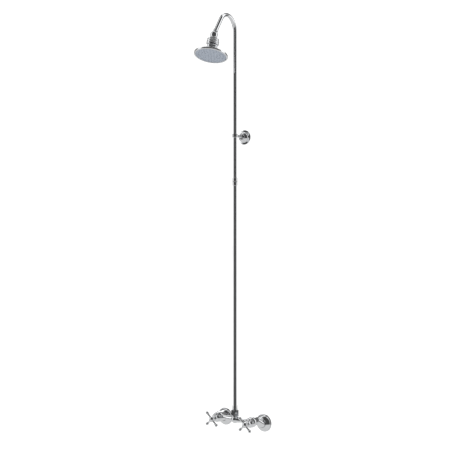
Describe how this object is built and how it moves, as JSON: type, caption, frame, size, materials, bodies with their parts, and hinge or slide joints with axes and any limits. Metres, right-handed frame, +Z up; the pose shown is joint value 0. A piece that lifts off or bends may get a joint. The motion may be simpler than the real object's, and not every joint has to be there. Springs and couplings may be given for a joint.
{
  "type": "exposed shower column",
  "caption": "Wall-mounted shower column with cross handles on a mixer, a slim gooseneck riser held by a wall bracket, and a bell-shaped rain head on a ball joint.",
  "frame": {"origin": "midway between the two supply inlets, on the wall", "axes": "+Z up along the riser, +Y into the wall, +X to the right of someone who faces the wall"},
  "size_m": [0.248, 0.2921, 1.607],
  "materials": {
    "chrome": "polished chrome plate on brass",
    "raw_brass": "machined, unplated",
    "steel": "plain stainless steel",
    "ceramic": "lapped alumina ceramic",
    "black_rubber": "moulded nitrile rubber",
    "white_plastic": "moulded acetal",
    "face_plate": "satin plate",
    "silicone": "soft translucent silicone"
  },
  "bodies": {
    "column": {"hot_wall_flange": "chrome", "hot_offset_union": "chrome", "hot_union_nut": "chrome", "hot_union_washer": "black_rubber", "hot_seat_gasket": "black_rubber", "hot_fixed_disc": "ceramic", "hot_cartridge_body": "raw_brass", "hot_bonnet": "chrome", "cold_wall_flange": "chrome", "cold_offset_union": "chrome", "cold_union_nut": "chrome", "cold_union_washer": "black_rubber", "cold_seat_gasket": "black_rubber", "cold_fixed_disc": "ceramic", "cold_cartridge_body": "raw_brass", "cold_bonnet": "chrome", "mixer_body": "chrome", "riser_washer": "black_rubber", "riser_tailpiece": "chrome", "riser_nut": "chrome", "lower_riser": "chrome", "lower_coupling_half": "chrome", "coupling_o_ring": "black_rubber", "upper_coupling_half": "chrome", "upper_riser": "chrome", "bracket_base": "steel", "bracket_flange": "chrome", "bracket_arm": "chrome", "bracket_ring": "chrome", "bracket_ring_screw": "steel", "bracket_arm_screw": "steel", "arm_washer": "black_rubber"},
    "hot_control": {"hot_moving_disc": "ceramic", "hot_spindle": "raw_brass", "hot_spindle_o_ring": "black_rubber", "hot_handle": "chrome", "hot_handle_screw": "steel", "hot_index_button": "chrome"},
    "cold_control": {"cold_moving_disc": "ceramic", "cold_spindle": "raw_brass", "cold_spindle_o_ring": "black_rubber", "cold_handle": "chrome", "cold_handle_screw": "steel", "cold_index_button": "chrome"},
    "ball": {"ball_stud": "chrome"},
    "neck": {"ball_seal": "black_rubber", "ball_seat": "white_plastic", "swivel_nut": "chrome"},
    "rain_head": {"head_collar": "chrome", "flow_restrictor": "white_plastic", "bell_gasket": "black_rubber", "bell": "chrome", "collar_lock_nut": "raw_brass", "plate_gasket": "black_rubber", "spray_plate": "face_plate", "jet_mat": "silicone", "face_ring": "chrome"}
  },
  "joints": [
    {"name": "hot_handle_turn", "type": "hinge", "parent": "column", "child": "hot_control", "pos_m": [-0.076, -0.1, 0.015], "axis": [0, -1, 0], "range_deg": [0, 90]},
    {"name": "cold_handle_turn", "type": "hinge", "parent": "column", "child": "cold_control", "pos_m": [0.076, -0.1, 0.015], "axis": [0, -1, 0], "range_deg": [-90, 0]},
    {"name": "head_turn", "type": "hinge", "parent": "column", "child": "ball", "pos_m": [0, -0.20868, 1.47451], "axis": [0, -0.5592, -0.829], "continuous": true},
    {"name": "head_tilt", "type": "hinge", "parent": "ball", "child": "neck", "pos_m": [0, -0.20868, 1.47451], "axis": [1, 0, 0], "range_deg": [-43, 4]},
    {"name": "head_spin", "type": "hinge", "parent": "neck", "child": "rain_head", "pos_m": [0, -0.20868, 1.47451], "axis": [0, -0.2504, -0.9681], "continuous": true}
  ]
}
